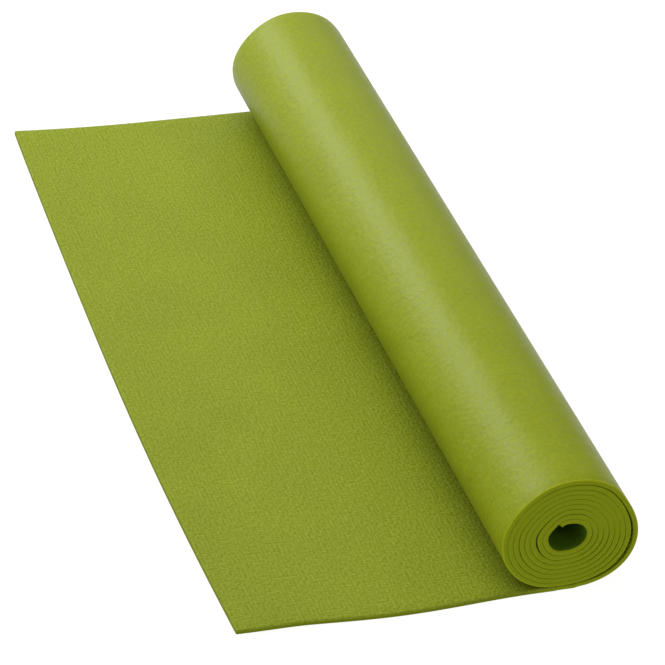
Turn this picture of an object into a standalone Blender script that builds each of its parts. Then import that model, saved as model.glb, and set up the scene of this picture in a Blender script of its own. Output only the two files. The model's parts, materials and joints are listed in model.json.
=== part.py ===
"""A rolled exercise mat, partly unrolled, with its free end lying on the floor.

Metres, +Z up. X runs across the roll, from the free end (-X) to the roll (+X), and Y runs along the
roll. The origin is on the floor, under the line where the roll stands, at the middle of the mat's width.
The mat is one sheet of foam cast round a woven scrim. The roll is one rigid body. The free run is a
chain of narrow strips, hinged one to the next at the scrim, which can wrap on round the roll.
"""

import math

import bpy
from mathutils import Vector

# The sheet
MAT_WIDTH = 0.610
SHEET = 0.00340
SCRIM = 0.00025
SCRIM_CLEARANCE = 0.00015
SCRIM_INSET = 0.0010

# The roll: an oval spiral, standing on its outermost wrap
OUTER_RADIUS = 0.0433
PITCH = 0.00370
TURNS = 8.58
OVAL = 0.0173
FLATTEN = 0.030
FLATTEN_SHARPNESS = 30
FOOT_TURN = math.radians(12)
STEPS_PER_TURN = 30

# The roll isn't round. It bulges low down on the side away from the free run, less and less towards its
# core, and the outermost wrap stands off the next one there. It has a slight shoulder above the bulge, and
# is flattened at the top on the free run's side.
BULGE = 0.0047
BULGE_FROM = math.radians(12)
BULGE_TO = math.radians(130)
BULGE_SKEW = 0.85
SLACK = 0.0012
SHOULDER = 0.0009
SHOULDER_FROM = math.radians(105)
SHOULDER_TO = math.radians(185)
DENT = 0.0016
DENT_FROM = math.radians(180)
DENT_TO = math.radians(275)

# The free run
FREE_RUN = 0.2188
FIRST_HINGE = 0.008
STRIPS = 19
END_STRIP = 0.0190
CURL_STRIPS = 9
CURL_AT_REST = 0.030
STRIP_GAP = 0.0008
WRAP_CLEARANCE = 0.0009
TIP_CLEARANCE = 0.0010

# The free edge: how far its middle stands out past its ends, how far it is out of square, and its slight wave
EDGE_BOW = 0.0066
EDGE_SLANT = 0.0041
EDGE_WAVE = 0.0009
EDGE_STEPS = 16
SLOT_REACH = 1.01

FOAM_GREEN = (0.26, 0.36, 0.032, 1.0)
SCRIM_GREY = (0.42, 0.43, 0.33, 1.0)


def spiral_radius(turned):
    return OUTER_RADIUS - PITCH * turned / math.tau


def hump(turned, start, end, skew=1.0):
    """A smooth rise and fall from 0 to 1 and back between two directions, and 0 elsewhere."""
    part_way = (turned % math.tau - start) / (end - start)
    if not 0 < part_way < 1:
        return 0.0
    return math.sin(math.pi * part_way**skew) ** 2


def out_of_round(turned):
    """How far the roll's shape carries the sheet out from an even spiral."""
    outermost = SLACK if turned < math.tau else 0.0
    kept = 1 - turned / (TURNS * math.tau)
    bulge = (BULGE * kept + outermost) * hump(turned, BULGE_FROM, BULGE_TO, BULGE_SKEW)
    shoulder = SHOULDER * kept * hump(turned, SHOULDER_FROM, SHOULDER_TO)
    return bulge + shoulder - DENT * hump(turned, DENT_FROM, DENT_TO)


def roll_point(turned):
    """The middle of the sheet's thickness, as (x, z), after this turn up and round from the floor."""
    direction = turned - math.pi / 2
    radius = spiral_radius(turned) + out_of_round(turned)
    down = max(0.0, -math.sin(direction))
    radius *= 1 - FLATTEN * down**FLATTEN_SHARPNESS
    centre = SHEET / 2 + OUTER_RADIUS * (1 - FLATTEN) * (1 - OVAL)
    height = centre + radius * math.sin(direction) * (1 - OVAL)
    if turned <= FOOT_TURN:
        height = SHEET / 2
    return Vector((radius * math.cos(direction) * (1 + OVAL), height))


def inward_normals(points):
    """A unit normal at each point of a line, on the left of the way it runs."""
    normals = []
    for i in range(len(points)):
        along = points[min(i + 1, len(points) - 1)] - points[max(i - 1, 0)]
        normals.append(Vector((-along.y, along.x)).normalized())
    return normals


def roll_line(start_x, end_turn):
    """The middle line of the sheet through the roll, from the free run's side to its inner end."""
    step = math.tau / STEPS_PER_TURN
    whole = int(end_turn / step)
    turns = [i * step for i in range(whole + 1)]
    if end_turn - turns[-1] > step / 4:
        turns.append(end_turn)
    return [Vector((start_x, SHEET / 2))] + [roll_point(turned) for turned in turns]


def band(line, thickness):
    """The closed outline of a layer of this thickness along a middle line."""
    normals = inward_normals(line)
    inner = [p + n * thickness / 2 for p, n in zip(line, normals)]
    outer = [p - n * thickness / 2 for p, n in zip(line, normals)]
    return inner + outer[::-1]


def wrapped_point(turned):
    """Where the sheet's middle lies when it is wrapped on round the roll, at a turn below zero."""
    around = turned + math.tau
    ahead = roll_point(around + 0.01)
    behind = roll_point(around - 0.01)
    along = ahead - behind
    outward = Vector((along.y, -along.x)).normalized()
    return roll_point(around) + outward * (SHEET + WRAP_CLEARANCE)


def hinge_lengths():
    """The length of each strip along the sheet, from the roll to the free end."""
    strip = (FREE_RUN - FIRST_HINGE - END_STRIP) / (STRIPS - 1)
    return [strip] * (STRIPS - 1) + [END_STRIP]


def next_on_wrap(point, turned, length):
    """The turn at which the wrapped line is this far from a point, going on from a known turn."""
    low, high = turned - 1.0, turned
    for _ in range(60):
        middle = (low + high) / 2
        if (wrapped_point(middle) - point).length > length:
            low = middle
        else:
            high = middle
    return high


def wrapped_bends():
    """The bend at each hinge that lays the strips on round the roll."""
    points = [Vector((-FIRST_HINGE, SHEET / 2))]
    turned = -0.02
    heading = math.pi
    bends = []
    for i, length in enumerate(hinge_lengths()):
        turned = next_on_wrap(points[-1], turned, length)
        target = wrapped_point(turned)
        if i == STRIPS - 1:
            target = target + (target - roll_point(turned + math.tau)).normalized() * TIP_CLEARANCE
        along = target - points[-1]
        new_heading = math.atan2(along.y, along.x)
        bends.append((heading - new_heading) % math.tau)
        heading = new_heading
        points.append(target)
    return bends


def rest_bends():
    """The bend at each hinge at rest: none beside the roll, and a slight curl towards the free end."""
    bends = wrapped_bends()
    return [0.0 if i < STRIPS - CURL_STRIPS else CURL_AT_REST * b for i, b in enumerate(bends)]


def strip_frames():
    """Each strip's hinge as (x, z), its heading at rest and its length."""
    point = Vector((-FIRST_HINGE, SHEET / 2))
    heading = math.pi
    frames = []
    for bend, length in zip(rest_bends(), hinge_lengths()):
        heading -= bend
        frames.append((point.copy(), heading, length))
        point = point + Vector((math.cos(heading), math.sin(heading))) * length
    return frames


def material(name, colour, roughness):
    made = bpy.data.materials.new(name)
    made.use_nodes = True
    shader = made.node_tree.nodes["Principled BSDF"]
    shader.inputs["Base Color"].default_value = colour
    shader.inputs["Roughness"].default_value = roughness
    shader.inputs["Metallic"].default_value = 0.0
    return made


def clear_scene():
    for obj in list(bpy.data.objects):
        bpy.data.objects.remove(obj, do_unlink=True)


def flat_outline(outlines, depth):
    """A 2D curve filled between its outlines, and as deep as the given size."""
    curve = bpy.data.curves.new("guide", "CURVE")
    curve.dimensions = "2D"
    curve.fill_mode = "BOTH"
    curve.extrude = depth / 2
    for outline in outlines:
        spline = curve.splines.new("POLY")
        spline.points.add(len(outline) - 1)
        for point, place in zip(spline.points, outline):
            point.co = (place[0], place[1], 0.0, 1.0)
        spline.use_cyclic_u = True
    return bpy.data.objects.new("guide", curve)


def as_mesh(guide, name, collection, made_of):
    """The mesh of a curve, with its caps welded, as an object of its own."""
    bpy.context.scene.collection.objects.link(guide)
    bpy.context.view_layer.update()
    graph = bpy.context.evaluated_depsgraph_get()
    mesh = bpy.data.meshes.new_from_object(guide.evaluated_get(graph))
    mesh.name = name
    mesh.materials.clear()
    mesh.materials.append(made_of)
    piece = bpy.data.objects.new(name, mesh)
    piece.matrix_world = guide.matrix_world.copy()
    collection.objects.link(piece)
    bpy.data.objects.remove(guide, do_unlink=True)
    weld = piece.modifiers.new("weld_caps", "WELD")
    weld.merge_threshold = 0.000001
    return piece


def across(outlines, name, collection, made_of, width):
    """A solid whose X-Z section is given, and which runs along Y, centred."""
    guide = flat_outline(outlines, width)
    guide.rotation_euler = (math.pi / 2, 0.0, 0.0)
    return as_mesh(guide, name, collection, made_of)


def make_roll(collection, foam, scrim):
    end_turn = TURNS * math.tau
    section = band(roll_line(-FIRST_HINGE + STRIP_GAP / 2, end_turn), SHEET)
    inset_turn = end_turn - SCRIM_INSET / spiral_radius(end_turn)
    slot_inset = SCRIM_INSET - SCRIM_CLEARANCE
    slot_turn = end_turn - slot_inset / spiral_radius(end_turn)
    slot = band(
        roll_line(-FIRST_HINGE + STRIP_GAP / 2 + slot_inset, slot_turn), SCRIM + 2 * SCRIM_CLEARANCE
    )
    across([section, slot], "roll_foam", collection, foam, MAT_WIDTH)
    cloth = band(roll_line(-FIRST_HINGE + STRIP_GAP / 2 + SCRIM_INSET, inset_turn), SCRIM)
    across([cloth], "roll_scrim", collection, scrim, MAT_WIDTH)


def along_strip(start, heading, distance, height):
    """A point beside a strip, as (x, z): so far along it and so far above its middle."""
    ahead = Vector((math.cos(heading), math.sin(heading)))
    up = Vector((ahead.y, -ahead.x))
    return start + ahead * distance + up * height


def strip_section(start, heading, near, far, thickness):
    low = -thickness / 2
    high = thickness / 2
    corners = [(near, low), (near, high), (far, high), (far, low)]
    return [along_strip(start, heading, distance, height) for distance, height in corners]


def make_strip(number, frame, collection, foam, scrim):
    start, heading, length = frame
    near = STRIP_GAP / 2
    far = length - STRIP_GAP / 2
    inset = SCRIM_INSET - SCRIM_CLEARANCE
    section = strip_section(start, heading, near, far, SHEET)
    slot = strip_section(start, heading, near + inset, far - inset, SCRIM + 2 * SCRIM_CLEARANCE)
    cloth = strip_section(start, heading, near + SCRIM_INSET, far - SCRIM_INSET, SCRIM)
    across([section, slot], f"strip_{number:02d}_foam", collection, foam, MAT_WIDTH)
    across([cloth], f"strip_{number:02d}_scrim", collection, scrim, MAT_WIDTH)


def free_edge(share):
    """How far the free edge is from the last hinge, at a share of half the width: -1, near end, to 1."""
    wave = EDGE_WAVE * math.sin(math.pi * share)
    return END_STRIP - EDGE_BOW * share**2 - EDGE_SLANT * share - wave


def end_outline(near, inset, reach):
    """The end strip's outline from above, as (distance from the hinge, y), as wide as reach says."""
    outline = [(near, -reach * MAT_WIDTH / 2), (near, reach * MAT_WIDTH / 2)]
    for i in range(EDGE_STEPS + 1):
        share = reach * (1 - 2 * i / EDGE_STEPS)
        outline.append((free_edge(share) - inset, share * MAT_WIDTH / 2))
    return outline


def end_plate(name, frame, outline, thickness, collection, made_of):
    """A flat plate of the end strip's outline, laid at the strip's place and slope."""
    start, heading, _ = frame
    guide = flat_outline([outline], thickness)
    guide.location = (start.x, 0.0, start.y)
    guide.rotation_euler = (0.0, -heading, 0.0)
    return as_mesh(guide, name, collection, made_of)


def make_end_strip(frame, collection, foam, scrim):
    """The last strip, with the free edge. Its slot is open at both side edges, like the others."""
    near = STRIP_GAP / 2
    name = f"strip_{STRIPS:02d}"
    outline = end_outline(near, 0.0, 1.0)
    plate = end_plate(f"{name}_foam", frame, outline, SHEET, collection, foam)
    inset = SCRIM_INSET - SCRIM_CLEARANCE
    slot = end_outline(near + inset, inset, SLOT_REACH)
    cutters = bpy.data.collections.new("cutters")
    bpy.context.scene.collection.children.link(cutters)
    thickness = SCRIM + 2 * SCRIM_CLEARANCE
    cutter = end_plate("end_slot_cutter", frame, slot, thickness, cutters, foam)
    cutter.hide_render = True
    cutter.display_type = "WIRE"
    cut = plate.modifiers.new("scrim_slot", "BOOLEAN")
    cut.operation = "DIFFERENCE"
    cut.object = cutter
    cloth = end_outline(near + SCRIM_INSET, SCRIM_INSET, 1.0)
    end_plate(f"{name}_scrim", frame, cloth, SCRIM, collection, scrim)


def build():
    clear_scene()
    collection = bpy.data.collections.new("exercise_mat")
    bpy.context.scene.collection.children.link(collection)
    foam = material("mat_foam", FOAM_GREEN, 0.55)
    scrim = material("mat_scrim", SCRIM_GREY, 0.85)
    make_roll(collection, foam, scrim)
    frames = strip_frames()
    for number, frame in enumerate(frames[:-1], start=1):
        make_strip(number, frame, collection, foam, scrim)
    make_end_strip(frames[-1], collection, foam, scrim)


build()
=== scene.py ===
"""The looks of a rolled exercise mat whose free end lies unrolled on the floor.

Metres, in the CAD frame: X across the roll, Y along it, +Z up, floor at z = 0. The whole mat is one smooth
sheet swept along the line that it follows, from its inner end in the roll to its free edge. The free run is
cut into pieces: one piece round each hinge, and its free end, which is attached to the last hinge's body.
"""

import json
import math

import bpy
import numpy as np
from mathutils import Matrix, Vector


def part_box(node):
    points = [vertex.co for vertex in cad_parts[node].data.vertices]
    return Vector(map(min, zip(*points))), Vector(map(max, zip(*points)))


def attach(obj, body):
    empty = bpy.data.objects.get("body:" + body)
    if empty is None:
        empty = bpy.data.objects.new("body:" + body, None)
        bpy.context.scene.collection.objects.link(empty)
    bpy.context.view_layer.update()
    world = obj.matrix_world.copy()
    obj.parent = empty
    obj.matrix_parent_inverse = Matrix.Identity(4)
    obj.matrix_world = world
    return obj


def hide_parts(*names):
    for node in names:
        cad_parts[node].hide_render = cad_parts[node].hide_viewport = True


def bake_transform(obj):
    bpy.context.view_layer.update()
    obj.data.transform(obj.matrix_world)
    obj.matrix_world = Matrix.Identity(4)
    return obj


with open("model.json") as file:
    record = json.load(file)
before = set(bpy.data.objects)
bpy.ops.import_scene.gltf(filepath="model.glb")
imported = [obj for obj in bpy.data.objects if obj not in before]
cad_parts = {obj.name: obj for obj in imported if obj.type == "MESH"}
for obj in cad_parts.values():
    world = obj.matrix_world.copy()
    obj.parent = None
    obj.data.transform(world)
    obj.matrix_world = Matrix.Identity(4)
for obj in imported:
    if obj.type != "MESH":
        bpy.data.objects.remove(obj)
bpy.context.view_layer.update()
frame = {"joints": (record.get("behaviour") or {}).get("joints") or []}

# The sheet's thickness, and its spiral, as the CAD has them
SHEET = 0.00340
OUTER_RADIUS = 0.0433
PITCH = 0.00370
TURNS = 8.58
OVAL = 0.0173
FLATTEN = 0.030
FLATTEN_SHARPNESS = 30
FOOT_TURN = math.radians(12)

# How the roll is out of round, as in the CAD: a bulge low on the right, where the outermost wrap is slack
# too, a shoulder high on the right and a dent high on the left. The angles go up from the floor on the right
BULGE = 0.0047
BULGE_FROM = math.radians(12)
BULGE_TO = math.radians(130)
BULGE_SKEW = 0.85
SLACK = 0.0012
SHOULDER = 0.0009
SHOULDER_FROM = math.radians(105)
SHOULDER_TO = math.radians(185)
DENT = 0.0016
DENT_FROM = math.radians(180)
DENT_TO = math.radians(275)

# The free edge, as in the CAD: how far it is past the last hinge, and its bow, slant and wave
END_STRIP = 0.0190
EDGE_BOW = 0.0066
EDGE_SLANT = 0.0041
EDGE_WAVE = 0.0009

# How the near side edge strays from straight: the roll's end stands in, and the free run's middle and its
# corner stand out. The places are distances from the roll's foot
ROLL_END_IN = 0.0016
MIDDLE_OUT = 0.0030
MIDDLE_FROM = 0.015
MIDDLE_TO = 0.180
CORNER_OUT = 0.0028
CORNER_FROM = 0.165
CORNER_TO = 0.225

# How far the cut edges are rounded over: the ends, and the side edges as (upper face's, under face's)
END_ROUND = 0.00035
FREE_EDGE_ROUND = (0.00100, 0.00050)
OUTER_EDGE_ROUND = (0.00040, 0.00100)
CORE_EDGE_ROUND = (0.00055, 0.00055)
SIDE_ROUND_DEGREES = (22, 45, 68, 90)
END_ROUND_DEGREES = (0, 30, 60, 85)

# How finely the sheet is drawn
ROLL_STEP = math.radians(4)
RUN_IN_STEP = 0.001
STRIP_ROWS = 10
END_ROWS = 10
COLUMNS = 64
CORE_COLUMNS = 12
SHARP_EDGE = math.radians(40)

# The core of the roll: its wraps sag flat over the hole, stand off each other on the left, and make the
# hole wider to the right
CORE_SAG = 0.0006
CORE_FROM = 4.6 * math.tau
CORE_TO = 8.4 * math.tau
SAG_DIRECTION = math.radians(98)
CRESCENT = 0.00080
CRESCENT_FROM = 5.9 * math.tau
CRESCENT_FADE = 1.0
CRESCENT_DIRECTION = math.radians(180)
CORE_WIDE = 0.0029

# The wraps round the core: a slight ripple, a gap inside the outermost wrap, and foam that swells unevenly
RIPPLE = 0.00004
RIPPLE_RATE = 1.37
OUTER_GAP = 0.00030
OUTER_GAP_FROM = math.radians(-70)
OUTER_GAP_TO = math.radians(125)
OUTER_WRAP = 1.12 * math.tau
WRAP_SWELL = 0.082
WRAP_UNEVEN = 0.045
SWELL_FROM = 0.3 * math.tau

# The camera, round the origin
CAMERA_AZIMUTH = -19.96
CAMERA_ELEVATION = 33.38
CAMERA_ROLL = 4.69
CAMERA_DISTANCE = 2.846
CAMERA_RIGHT = -0.0543
CAMERA_UP = -0.0007
CAMERA_LENS = 222.0

# The floor, a hair below the mat, and the light all round
FLOOR_SIDE = 12.0
FLOOR_DROP = 0.00002
FLOOR_GREY = 0.12
FLOOR_GLOW = 0.95
WORLD_LIGHT = 0.16

foam_low, foam_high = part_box("roll_foam")
WIDTH = foam_high[1] - foam_low[1]
hinges = [j for j in frame["joints"] if j["type"] == "hinge"]
hinges.sort(key=lambda j: -j["pos_m"][0])


# ---------------------------------------------------------------- camera, light and floor

def make_camera():
    azimuth = math.radians(CAMERA_AZIMUTH)
    elevation = math.radians(CAMERA_ELEVATION)
    roll = math.radians(CAMERA_ROLL)
    back = Vector((
        math.sin(azimuth) * math.cos(elevation),
        -math.cos(azimuth) * math.cos(elevation),
        math.sin(elevation),
    ))
    level_right = (-back).cross(Vector((0, 0, 1))).normalized()
    level_up = level_right.cross(-back)
    right = level_right * math.cos(roll) + level_up * math.sin(roll)
    up = level_up * math.cos(roll) - level_right * math.sin(roll)
    place = back * CAMERA_DISTANCE + right * CAMERA_RIGHT + up * CAMERA_UP
    data = bpy.data.cameras.new("camera")
    data.sensor_width = 36.0
    data.lens = CAMERA_LENS
    data.clip_start = 0.05
    data.clip_end = 50.0
    camera = bpy.data.objects.new("camera", data)
    turn = Matrix((right, up, back)).transposed()
    camera.matrix_world = Matrix.Translation(place) @ turn.to_4x4()
    bpy.context.scene.collection.objects.link(camera)
    bpy.context.scene.camera = camera


def area_light(name, place, aim, size, watts):
    data = bpy.data.lights.new(name, "AREA")
    data.shape = "RECTANGLE"
    data.size, data.size_y = size
    data.energy = watts
    light = bpy.data.objects.new(name, data)
    light.location = place
    light.rotation_euler = (Vector(aim) - Vector(place)).to_track_quat("-Z", "Y").to_euler()
    bpy.context.scene.collection.objects.link(light)


def make_lights():
    roll_middle = (0.0, 0.0, 0.05)
    area_light("overhead_softbox", place=(-0.38, 0.25, 2.12), aim=(0, 0, 0), size=(1.8, 2.0), watts=33.0)
    area_light("back_softbox", place=(-1.02, 1.92, 1.18), aim=roll_middle, size=(1.2, 0.8), watts=36.0)
    area_light("front_fill", place=(0.55, -1.55, 1.15), aim=(0.05, 0.0, 0.0), size=(0.8, 0.8), watts=3.5)
    area_light("back_fill", place=(0.30, 1.05, 0.50), aim=(0.0, 0.2, 0.05), size=(1.0, 0.3), watts=1.9)
    area_light("left_fill", place=(-1.50, 0.0, 0.35), aim=roll_middle, size=(0.5, 1.2), watts=1.6)
    world = bpy.data.worlds.new("studio")
    bpy.context.scene.world = world
    world.use_nodes = True
    sky = world.node_tree.nodes["Background"]
    sky.inputs["Color"].default_value = (1.0, 1.0, 1.0, 1.0)
    sky.inputs["Strength"].default_value = WORLD_LIGHT
    view = bpy.context.scene.view_settings
    view.view_transform = "Standard"
    view.look = "None"
    view.exposure = 0.0


# ---------------------------------------------------------------- materials

class Nodes:
    """A material's node tree, with short ways to add to it."""

    def __init__(self, name):
        self.material = bpy.data.materials.new(name)
        self.material.use_nodes = True
        self.tree = self.material.node_tree
        self.shader = self.tree.nodes["Principled BSDF"]

    def add(self, kind, inputs=None, **settings):
        node = self.tree.nodes.new(kind)
        for key, value in settings.items():
            setattr(node, key, value)
        for key, value in (inputs or {}).items():
            self.put(node.inputs[key], value)
        return node

    def put(self, socket, value):
        if isinstance(value, bpy.types.NodeSocket):
            self.tree.links.new(value, socket)
        else:
            socket.default_value = value

    def parts(self, vector):
        """A vector's first and second parts."""
        split = self.add("ShaderNodeSeparateXYZ", {"Vector": vector})
        return split.outputs["X"], split.outputs["Y"]

    def math(self, operation, first, second=0.0, third=0.0):
        node = self.add("ShaderNodeMath", {0: first, 1: second, 2: third}, operation=operation)
        return node.outputs[0]

    def noise(self, vector, scale, detail=2.0, roughness=0.5):
        inputs = {"Vector": vector, "Scale": scale, "Detail": detail, "Roughness": roughness}
        return self.add("ShaderNodeTexNoise", inputs).outputs["Fac"]

    def stretch(self, noise, to_low, to_high):
        """A noise, whose values mostly lie from 0.3 to 0.7, spread over another range."""
        return self.spread(noise, 0.3, 0.7, to_low, to_high)

    def spread(self, value, low, high, to_low, to_high):
        inputs = {"Value": value, "From Min": low, "From Max": high, "To Min": to_low, "To Max": to_high}
        return self.add("ShaderNodeMapRange", inputs).outputs["Result"]

    def mix(self, share, first, second, blend="MIX"):
        node = self.add("ShaderNodeMix", data_type="RGBA", blend_type=blend)
        self.put(node.inputs[0], share)
        self.put(node.inputs[6], first)
        self.put(node.inputs[7], second)
        return node.outputs[2]

    def specular(self, level):
        self.shader.inputs["Specular IOR Level"].default_value = level

    def shade(self, colour, share):
        """The colour, made darker or lighter by this share."""
        grey = self.add("ShaderNodeCombineXYZ", {0: share, 1: share, 2: share}).outputs[0]
        return self.mix(1.0, colour, grey, "MULTIPLY")

    def bump(self, height, distance, strength, normal=None):
        inputs = {"Height": height, "Distance": distance, "Strength": strength}
        if normal is not None:
            inputs["Normal"] = normal
        return self.add("ShaderNodeBump", inputs).outputs["Normal"]


# The upper face. The lengths are along the sheet, as sheet_place gives them
# The weave's colours: its crests are painted paler and bluer, a painted sheen, and its hollows darker,
# painted shade
UPPER_CREST_SHEEN = (0.278, 0.338, 0.0250, 1.0)
UPPER_HOLLOW_SHADE = (0.196, 0.242, 0.0004, 1.0)
WEAVE_PITCH = 0.0027
WEAVE_WANDER = 0.0045
WANDER_SCALE = 0.22
PIT_SCALE = 450.0
PIT_SHARE = 1.9
HOLLOW_HEIGHT = 0.55
CREST_HEIGHT = 2.35
WEAVE_DEPTH = 0.00014
UPPER_ROUGHNESS = (0.44, 0.54)
UPPER_SPECULAR = 0.12
BLOTCH_SCALE = 16.0
BLOTCH_SHADE = (0.96, 1.04)
# Painted shade: the upper face is painted darker towards the roll, standing in for the roll's shadow on the
# sheet beside it. It stays darker on into the roll.
ROLL_SHADOW_FROM = -0.11
ROLL_SHADOW_TO = -0.045
ROLL_SHADOW_SHARE = 0.905
# Painted shade: the upper face of the innermost wraps, round the hole, is painted a darker green for the
# shade inside the hole
CORE_PAINTED_SHADE = (0.108, 0.205, 0.0090, 1.0)
CORE_SHADE_FROM = 1.40
CORE_SHADE_TO = 1.44

# The under face
UNDER_GREEN = (0.230, 0.280, 0.0016, 1.0)
UNDER_PALE = (0.246, 0.297, 0.0034, 1.0)
CLOUD_SCALE = 30.0
CLOUD_ROUGHNESS = (0.39, 0.46)
SKIN_SCALE = 330.0
SKIN_DEPTH = 0.00048
SKIN_SHADE = (0.87, 1.13)
SKIN_ROUGHNESS = (-0.14, 0.14)
DIMPLE_SCALE = 95.0
DIMPLE_DEPTH = 0.00060
UNDER_SPECULAR = 0.16

# The cut edges
CUT_GREEN = (0.238, 0.294, 0.0040, 1.0)
CUT_DARK = (0.184, 0.232, 0.0025, 1.0)
# Painted shadow: the free run's cut edges are painted darker low down, where the mat meets the floor
CUT_PAINTED_SHADOW = (0.090, 0.110, 0.0015, 1.0)
SCRIM_PALE = (0.290, 0.325, 0.0250, 1.0)
# Pale rim on the under-face side of the cut edges: partly the skin's own colour, partly a painted highlight
# along the rounded edge
SKIN_AND_HIGHLIGHT_PALE = (0.400, 0.455, 0.0120, 1.0)
CELL_SCALE = 2600.0
CELL_DEPTH = 0.00008
DRAG_SCALE = 500.0
DRAG_SHARE = 0.6
THREAD_HALF = 0.00008
THREAD_FADE = 0.00020
THREAD_PALE = 0.05
# The pale rim: partly the skin's colour, partly a painted highlight, stronger on the free run and the
# outermost wrap
RIM_DEPTH = 0.0011
OUTER_RIM_TO = 0.27
OUTER_RIM_HIGHLIGHT = 0.85
INNER_RIM_FROM = 0.30
INNER_RIM_HIGHLIGHT = 0.30
# Painted shadow low on the free run's cut edges, where the mat meets the floor
EDGE_SHADOW_FROM = -0.02
EDGE_SHADOW_DARK = 0.75
CUT_ROUGHNESS = (0.62, 0.80)
CUT_SPECULAR = 0.05


def sheet_place(nodes):
    """Where a point is on the unrolled sheet, in metres, as a vector.

    Its first part is the length along the sheet from where the free run meets the roll: positive into the
    roll, and negative out to the free edge. Its second part is the place across the sheet or, on the cut
    edges, through its thickness.
    """
    return nodes.add("ShaderNodeUVMap", uv_map="sheet").outputs["UV"]


def weave(nodes, place):
    """The pressed-in weave: rows of soft bumps along and across the sheet, from 0 in the hollows to 1.

    The rows aren't straight: they wander.
    """
    inputs = {"Vector": place, "Scale": WANDER_SCALE / WEAVE_PITCH, "Detail": 2.0}
    stray = nodes.add("ShaderNodeTexNoise", inputs)
    centred = nodes.add(
        "ShaderNodeVectorMath", {0: stray.outputs["Color"], 1: (0.5, 0.5, 0.5)}, operation="SUBTRACT"
    )
    shift = nodes.add("ShaderNodeVectorMath", {0: centred.outputs[0]}, operation="SCALE")
    shift.inputs["Scale"].default_value = WEAVE_WANDER
    moved = nodes.add("ShaderNodeVectorMath", {0: place, 1: shift.outputs[0]}, operation="ADD")
    along, across = nodes.parts(moved.outputs[0])
    turn = math.tau / WEAVE_PITCH
    first = nodes.math("SINE", nodes.math("MULTIPLY", along, turn))
    second = nodes.math("SINE", nodes.math("MULTIPLY", across, turn))
    return nodes.math("MULTIPLY_ADD", nodes.math("ADD", first, second), 0.25, 0.5)


def upper_material():
    """The mat's working face: a fine woven emboss, matt, with painted sheen and shade on the weave, and
    painted shade by the roll and in its core.
    """
    nodes = Nodes("foam_upper")
    place = sheet_place(nodes)
    along, _ = nodes.parts(place)
    rows = weave(nodes, place)
    pits = nodes.noise(place, PIT_SCALE)
    blotch = nodes.noise(place, BLOTCH_SCALE, 3.0, 0.55)
    height = nodes.math("MULTIPLY_ADD", nodes.stretch(pits, 0.0, 1.0), PIT_SHARE, rows)
    raised = nodes.spread(height, HOLLOW_HEIGHT, CREST_HEIGHT, 0.0, 1.0)
    # Painted sheen on the weave's crests and painted shade in its hollows
    colour = nodes.mix(raised, UPPER_HOLLOW_SHADE, UPPER_CREST_SHEEN)
    # Painted shade inside the hole: the innermost wraps' upper face turns a darker green
    painted_core_shade = nodes.spread(along, CORE_SHADE_FROM, CORE_SHADE_TO, 0.0, 1.0)
    colour = nodes.mix(painted_core_shade, colour, CORE_PAINTED_SHADE)
    # Painted shade: darker towards the roll, for the roll's shadow on the sheet
    painted_roll_shadow = nodes.spread(along, ROLL_SHADOW_FROM, ROLL_SHADOW_TO, 1.0, ROLL_SHADOW_SHARE)
    share = nodes.math("MULTIPLY", nodes.stretch(blotch, *BLOTCH_SHADE), painted_roll_shadow)
    nodes.put(nodes.shader.inputs["Base Color"], nodes.shade(colour, share))
    nodes.put(nodes.shader.inputs["Roughness"], nodes.stretch(pits, *UPPER_ROUGHNESS))
    nodes.specular(UPPER_SPECULAR)
    nodes.put(nodes.shader.inputs["Normal"], nodes.bump(height, WEAVE_DEPTH, 1.0))
    return nodes.material


def under_material():
    """The mat's other face, which shows on the outside of the roll: satin, with a fine grain."""
    nodes = Nodes("foam_under")
    place = sheet_place(nodes)
    cloud = nodes.noise(place, CLOUD_SCALE, 4.0, 0.6)
    skin = nodes.noise(place, SKIN_SCALE, 4.0, 0.65)
    dimples = nodes.noise(place, DIMPLE_SCALE)
    colour = nodes.mix(nodes.spread(cloud, 0.35, 0.65, 0.0, 1.0), UNDER_GREEN, UNDER_PALE)
    speck = nodes.stretch(skin, *SKIN_SHADE)
    nodes.put(nodes.shader.inputs["Base Color"], nodes.shade(colour, speck))
    wide = nodes.stretch(cloud, *CLOUD_ROUGHNESS)
    fine = nodes.stretch(skin, *SKIN_ROUGHNESS)
    nodes.put(nodes.shader.inputs["Roughness"], nodes.math("ADD", wide, fine))
    nodes.specular(UNDER_SPECULAR)
    dimpled = nodes.bump(dimples, DIMPLE_DEPTH, 0.8)
    nodes.put(nodes.shader.inputs["Normal"], nodes.bump(skin, SKIN_DEPTH, 0.9, dimpled))
    return nodes.material


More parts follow.
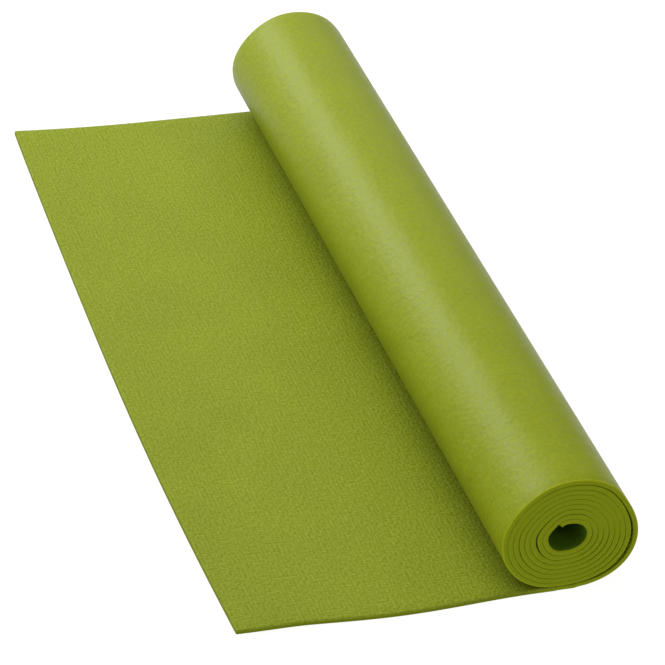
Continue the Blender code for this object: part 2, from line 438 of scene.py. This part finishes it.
def cut_material():
    """The knife-cut edge: open foam cells, and the ends of the scrim's threads along the middle.

    The under face's skin shows as a pale rim: partly its own colour and partly a painted highlight along the
    rounded edge, stronger on the free run and the outermost wrap. The free run's edge is painted darker low
    down, a painted shadow where the mat meets the floor.
    """
    nodes = Nodes("foam_cut")
    place = sheet_place(nodes)
    along, through = nodes.parts(place)
    cells = nodes.add("ShaderNodeTexVoronoi", {"Vector": place, "Scale": CELL_SCALE}).outputs["Distance"]
    drag = nodes.noise(place, DRAG_SCALE, 3.0, 0.6)
    share = nodes.spread(nodes.math("MULTIPLY_ADD", drag, DRAG_SHARE, cells), 0.3, 1.0, 0.0, 1.0)
    colour = nodes.mix(share, CUT_DARK, CUT_GREEN)
    from_middle = nodes.math("ABSOLUTE", through)
    thread = nodes.spread(from_middle, THREAD_HALF, THREAD_FADE, THREAD_PALE, 0.0)
    colour = nodes.mix(thread, colour, SCRIM_PALE)
    # Pale rim: partly the skin's own colour, partly a painted highlight along the rounded edge
    rim = nodes.spread(through, -SHEET / 2, -SHEET / 2 + RIM_DEPTH, 1.0, 0.0)
    pale = nodes.spread(along, OUTER_RIM_TO, INNER_RIM_FROM, OUTER_RIM_HIGHLIGHT, INNER_RIM_HIGHLIGHT)
    colour = nodes.mix(nodes.math("MULTIPLY", rim, pale), colour, SKIN_AND_HIGHLIGHT_PALE)
    # Painted shadow: the free run's cut edges darker towards the under face, where the mat meets the floor
    low = nodes.spread(through, -SHEET / 2, SHEET / 2, EDGE_SHADOW_DARK, 0.0)
    painted_edge_shadow = nodes.math("MULTIPLY", low, nodes.spread(along, EDGE_SHADOW_FROM, 0.0, 1.0, 0.0))
    colour = nodes.mix(painted_edge_shadow, colour, CUT_PAINTED_SHADOW)
    nodes.put(nodes.shader.inputs["Base Color"], colour)
    nodes.put(nodes.shader.inputs["Roughness"], nodes.stretch(drag, *CUT_ROUGHNESS))
    nodes.specular(CUT_SPECULAR)
    nodes.put(nodes.shader.inputs["Normal"], nodes.bump(cells, CELL_DEPTH, 0.5))
    return nodes.material


def floor_material():
    """A white table lit from inside, which shows no shadow, as in the photo."""
    nodes = Nodes("studio_floor")
    place = nodes.add("ShaderNodeTexCoord").outputs["Object"]
    grain = nodes.noise(place, 40.0)
    nodes.put(nodes.shader.inputs["Roughness"], nodes.stretch(grain, 0.68, 0.72))
    nodes.shader.inputs["Base Color"].default_value = (FLOOR_GREY, FLOOR_GREY, FLOOR_GREY, 1.0)
    nodes.shader.inputs["Emission Color"].default_value = (1.0, 1.0, 1.0, 1.0)
    nodes.shader.inputs["Emission Strength"].default_value = FLOOR_GLOW
    nodes.specular(0.2)
    return nodes.material


def make_floor():
    mesh = bpy.data.meshes.new("floor")
    half = FLOOR_SIDE / 2
    mesh.from_pydata(
        [(-half, -half, 0), (half, -half, 0), (half, half, 0), (-half, half, 0)], [], [(0, 1, 2, 3)]
    )
    floor = bpy.data.objects.new("floor", mesh)
    floor.location.z = -FLOOR_DROP
    mesh.materials.append(floor_material())
    bpy.context.scene.collection.objects.link(floor)


# ---------------------------------------------------------------- the line that the sheet follows

def smooth(value, low, high):
    share = min(1.0, max(0.0, (value - low) / (high - low)))
    return share * share * (3 - 2 * share)


def hump(turned, start, end, skew=1.0):
    """A smooth rise and fall from 0 to 1 and back between two directions, and 0 elsewhere."""
    part_way = (turned % math.tau - start) / (end - start)
    if not 0 < part_way < 1:
        return 0.0
    return math.sin(math.pi * part_way**skew) ** 2


def out_of_round(turned):
    """How far the roll's shape carries the sheet out from an even spiral."""
    outermost = SLACK if turned < math.tau else 0.0
    kept = 1 - turned / (TURNS * math.tau)
    bulge = (BULGE * kept + outermost) * hump(turned, BULGE_FROM, BULGE_TO, BULGE_SKEW)
    shoulder = SHOULDER * kept * hump(turned, SHOULDER_FROM, SHOULDER_TO)
    return bulge + shoulder - DENT * hump(turned, DENT_FROM, DENT_TO)


def settling(turned):
    """How much nearer the middle a wrap lies than in an even spiral."""
    direction = turned - math.pi / 2
    over = max(0.0, math.cos(direction - SAG_DIRECTION)) ** 2
    left = max(0.0, math.cos(direction - CRESCENT_DIRECTION)) ** 3
    sag = CORE_SAG * over * smooth(turned, CORE_FROM, CORE_TO)
    crescent = CRESCENT * left * smooth(turned, CRESCENT_FROM, CRESCENT_FROM + CRESCENT_FADE)
    clear_of_floor = 1 - max(0.0, -math.sin(direction)) ** 2
    ripple = RIPPLE * math.sin(turned * RIPPLE_RATE) * clear_of_floor
    round_once = (direction - OUTER_GAP_FROM) % math.tau / (OUTER_GAP_TO - OUTER_GAP_FROM)
    outer = OUTER_GAP * math.sin(math.pi * round_once) ** 0.7 if round_once < 1 else 0.0
    right = max(0.0, math.cos(direction)) ** 2
    inwards = (turned - math.tau) / (TURNS * math.tau - math.tau)
    return sag + crescent + ripple + outer - CORE_WIDE * right * inwards


def roll_point(turned):
    """The middle of the sheet's thickness, as (x, z), after this turn up and round from the floor."""
    direction = turned - math.pi / 2
    radius = OUTER_RADIUS - PITCH * turned / math.tau + out_of_round(turned)
    if turned > math.tau:
        radius -= settling(turned) * smooth(turned, math.tau, OUTER_WRAP)
    down = max(0.0, -math.sin(direction))
    radius *= 1 - FLATTEN * down**FLATTEN_SHARPNESS
    centre = SHEET / 2 + OUTER_RADIUS * (1 - FLATTEN) * (1 - OVAL)
    height = centre + radius * math.sin(direction) * (1 - OVAL)
    if turned <= FOOT_TURN:
        height = SHEET / 2
    return np.array((radius * math.cos(direction) * (1 + OVAL), height))


def wrap_share(turned):
    """How much thicker the sheet is drawn in the roll, where its wraps swell against each other.

    Two slow waves of unlike lengths make the swelling uneven, so that no two wraps are alike.
    """
    uneven = 0.5 + 0.3 * math.sin(turned * 0.83 + 0.6) + 0.2 * math.sin(turned * 2.19)
    return 1 + smooth(turned, SWELL_FROM, math.tau) * (WRAP_SWELL - WRAP_UNEVEN * uneven)


def line_stations(points, first_length):
    """Points (x, z) along a line, each as (length along the sheet, point, normal to the line)."""
    points = np.array(points)
    steps = np.linalg.norm(np.diff(points, axis=0), axis=1)
    lengths = first_length + np.concatenate([[0.0], np.cumsum(steps)])
    along = np.gradient(points, axis=0)
    along /= np.linalg.norm(along, axis=1)[:, None]
    normals = np.stack([-along[:, 1], along[:, 0]], axis=1)
    return list(zip(lengths, points, normals))


def hinge_points():
    return [np.array((j["pos_m"][0], j["pos_m"][2])) for j in hinges]


def bend_curve(before, hinge, after, rows):
    """A smooth curve from the middle of one strip to the middle of the next, round their hinge."""
    shares = np.linspace(0.0, 1.0, rows + 1)[:, None]
    return (1 - shares) ** 2 * before + 2 * shares * (1 - shares) * hinge + shares**2 * after


# ---------------------------------------------------------------- the sheet's mesh

UPPER, UNDER, CUT = 0, 1, 2


def near_edge_stray(x):
    """How far the near side edge stands in towards the far side, at this x on the free run."""
    run = -x
    part_way = min(1.0, max(0.0, (run - MIDDLE_FROM) / (MIDDLE_TO - MIDDLE_FROM)))
    settled = ROLL_END_IN * (1 - smooth(run, MIDDLE_FROM, CORNER_FROM))
    middle = MIDDLE_OUT * math.sin(math.pi * part_way) ** 2
    corner = CORNER_OUT * smooth(run, CORNER_FROM, CORNER_TO)
    return settled - middle - corner


def side_profile(rounding, way):
    """The near side edge's rounding over to a face: way is 1 for the upper face, -1 for the under one."""
    profile = [(-WIDTH / 2, way * (SHEET / 2 - rounding))]
    for degrees in SIDE_ROUND_DEGREES:
        angle = math.radians(degrees)
        height = SHEET / 2 - rounding * (1 - math.sin(angle))
        profile.append((-WIDTH / 2 + rounding * (1 - math.cos(angle)), way * height))
    return profile


def ring_of(columns, roundings):
    """The sheet's section across its width, once round, as (y, height) points.

    The first half runs along the upper face from the near side edge, and the second half back along the
    under face, point under point.
    """
    halves = []
    for rounding, way in zip(roundings, (1, -1)):
        near = side_profile(rounding, way)
        far = [(-y, height) for y, height in near[::-1]]
        flat = WIDTH / 2 - rounding
        face = [(-flat + 2 * flat * i / columns, way * SHEET / 2) for i in range(1, columns)]
        halves.append(near + face + far)
    return halves[0] + halves[1][::-1]


def face_of(first, second, pressed):
    """Which face of the sheet lies between two neighbouring points of the ring.

    Where the edge is pressed, the skins reach round its rounded corners. Elsewhere they are cut too.
    """
    level = abs(first[1] - second[1]) < 1e-9
    if first[1] * second[1] < 0 or not (level or pressed):
        return CUT
    return UPPER if first[1] > 0 else UNDER


def sheet_mesh(name, stations, columns, materials, rolled=False, edge_round=FREE_EDGE_ROUND):
    """The sheet swept through its stations, closed at both ends.

    A station is (length along, point, normal, share of the full thickness), or a function of y that gives
    those. Where the sheet is rolled, its side edges are the cut material right round their corners.
    """
    ring = ring_of(columns, edge_round)
    vertices = []
    places = []
    for station in stations:
        for y, height in ring:
            length, point, normal, share = station(y) if callable(station) else station
            x, z = point + normal * height * share
            stray = near_edge_stray(0.0 if rolled else point[0])
            vertices.append((x, y + stray * (0.5 - y / WIDTH), z))
            places.append((length, y, height * share))
    count = len(ring)
    faces, kinds = [], []
    for row in range(len(stations) - 1):
        for i in range(count):
            j = (i + 1) % count
            low, high = row * count, (row + 1) * count
            faces.append((low + i, low + j, high + j, high + i))
            kinds.append(face_of(ring[i], ring[j], not rolled))
    for base, last in ((0, False), ((len(stations) - 1) * count, True)):
        for i in range(count // 2 - 1):
            corners = (base + i, base + count - 1 - i, base + count - 2 - i, base + i + 1)
            faces.append(corners[::-1] if last else corners)
            kinds.append(CUT)
    mesh = bpy.data.meshes.new(name)
    mesh.from_pydata(vertices, [], faces)
    for material in materials:
        mesh.materials.append(material)
    mesh.polygons.foreach_set("material_index", kinds)
    layer = mesh.uv_layers.new(name="sheet")
    for polygon, kind in zip(mesh.polygons, kinds):
        for loop in polygon.loop_indices:
            length, y, height = places[mesh.loops[loop].vertex_index]
            layer.data[loop].uv = (length, height) if kind == CUT else (length, y)
    mesh.shade_smooth()
    mesh.set_sharp_from_angle(angle=SHARP_EDGE)
    mesh.update()
    piece = bpy.data.objects.new(name, mesh)
    bpy.context.scene.collection.objects.link(piece)
    return piece


def full_thickness(stations):
    return [(length, point, normal, 1.0) for length, point, normal in stations]


def rounding():
    """The rounding of a cut edge, as (how far in from the edge, share of the full thickness)."""
    steps = []
    for degrees in END_ROUND_DEGREES:
        angle = math.radians(degrees)
        lower = END_ROUND * (1 - math.cos(angle))
        steps.append((END_ROUND * (1 - math.sin(angle)), 1 - 2 * lower / SHEET))
    return steps


def rounded_end(stations):
    """The same stations, with the last one's edge rounded over."""
    length, point, normal, share = stations[-1]
    ahead = point - stations[-2][1]
    ahead /= np.linalg.norm(ahead)
    made = stations[:-1]
    for inset, kept in rounding():
        made.append((length - inset, point - ahead * inset, normal, share * kept))
    return made


# ---------------------------------------------------------------- the pieces

def roll_stations():
    """Stations through the roll, from where the free run meets it to the sheet's inner end.

    The second value is how many of them come before the spiral starts.
    """
    turns = list(np.arange(0.0, TURNS * math.tau, ROLL_STEP)) + [TURNS * math.tau]
    points = [roll_point(turned) for turned in turns]
    start = np.array((hinge_points()[0][0] + strip_length() / 2, SHEET / 2))
    count = max(2, int(abs(start[0]) / RUN_IN_STEP) + 1)
    run_in = [start + (points[0] - start) * i / count for i in range(count)]
    shares = [1.0] * count + [wrap_share(turned) for turned in turns]
    stations = line_stations(run_in + points, 0.0)
    return [station + (share,) for station, share in zip(stations, shares)], count


def strip_length():
    points = hinge_points()
    return float(np.linalg.norm(points[1] - points[0]))


def declare(nodes):
    """Hide these CAD nodes, which the piece is drawn in place of."""
    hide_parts(*nodes)


def make_roll(materials):
    stations, run_in = roll_stations()
    outer_count = run_in + int(OUTER_WRAP / ROLL_STEP)
    outer = stations[: outer_count + 1]
    inner = rounded_end(stations[outer_count:])
    wrap = sheet_mesh(
        "roll_outer_wrap", outer, COLUMNS, materials, rolled=True, edge_round=OUTER_EDGE_ROUND
    )
    core = sheet_mesh(
        "roll_inner_wraps", inner, CORE_COLUMNS, materials, rolled=True, edge_round=CORE_EDGE_ROUND
    )
    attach(wrap, "roll")
    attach(core, "roll")
    declare(["roll_foam"])
    declare(["roll_scrim"])


def strip_middles():
    """The middle of each strip at rest, as (x, z). The end strip's is a little way past its hinge."""
    points = hinge_points()
    middles = [np.array((points[0][0] + strip_length() / 2, SHEET / 2))]
    middles += [(a + b) / 2 for a, b in zip(points, points[1:])]
    joint_frame = points[-1] - points[-2]
    heading = math.atan2(joint_frame[1], joint_frame[0]) - end_bend()
    ahead = np.array((math.cos(heading), math.sin(heading)))
    middles.append(points[-1] + ahead * strip_length() / 2)
    return middles, ahead


def end_bend():
    """The bend at the last hinge at rest, which is how far its range goes below zero."""
    return -math.radians(hinges[-1]["range_deg"][0])


def free_edge(y):
    """How far the free edge is past the last hinge, at this place across the sheet."""
    share = 2 * y / WIDTH
    wave = EDGE_WAVE * math.sin(math.pi * share)
    return END_STRIP - EDGE_BOW * share**2 - EDGE_SLANT * share - wave


def make_free_run(materials):
    points = hinge_points()
    middles, ahead = strip_middles()
    travelled = 0.0
    for number, (joint, hinge) in enumerate(zip(hinges, points), start=1):
        before, after = middles[number - 1], middles[number]
        curve = bend_curve(before, hinge, after, STRIP_ROWS)
        outwards = line_stations(curve, travelled)
        stations = [(-length, point, -normal) for length, point, normal in outwards]
        travelled = -stations[-1][0]
        stations = full_thickness(stations[::-1])
        piece = sheet_mesh(f"sheet_bend_{number:02d}", stations, COLUMNS, materials)
        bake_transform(piece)
        child = joint["child"]
        declare([f"{child}_foam", f"{child}_scrim"])
    make_free_end(middles[-1], ahead, travelled, materials)


def make_free_end(start, ahead, travelled, materials):
    """The rest of the end strip, out to the free edge, which is bowed and a little out of square."""
    normal = np.array((ahead[1], -ahead[0]))
    if normal[1] < 0:
        normal = -normal
    begins = strip_length() / 2

    def row(part, inset, share):
        def at(y):
            reach = part * (free_edge(y) - begins - inset)
            return -(travelled + reach), start + ahead * reach, normal, share

        return at

    rows = [row(i / END_ROWS, END_ROUND, 1.0) for i in range(END_ROWS)]
    rows += [row(1.0, inset, share) for inset, share in rounding()]
    piece = sheet_mesh("sheet_free_end", rows[::-1], COLUMNS, materials)
    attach(piece, hinges[-1]["child"])


make_camera()
make_lights()
make_floor()
sheet_materials = [upper_material(), under_material(), cut_material()]
make_roll(sheet_materials)
make_free_run(sheet_materials)
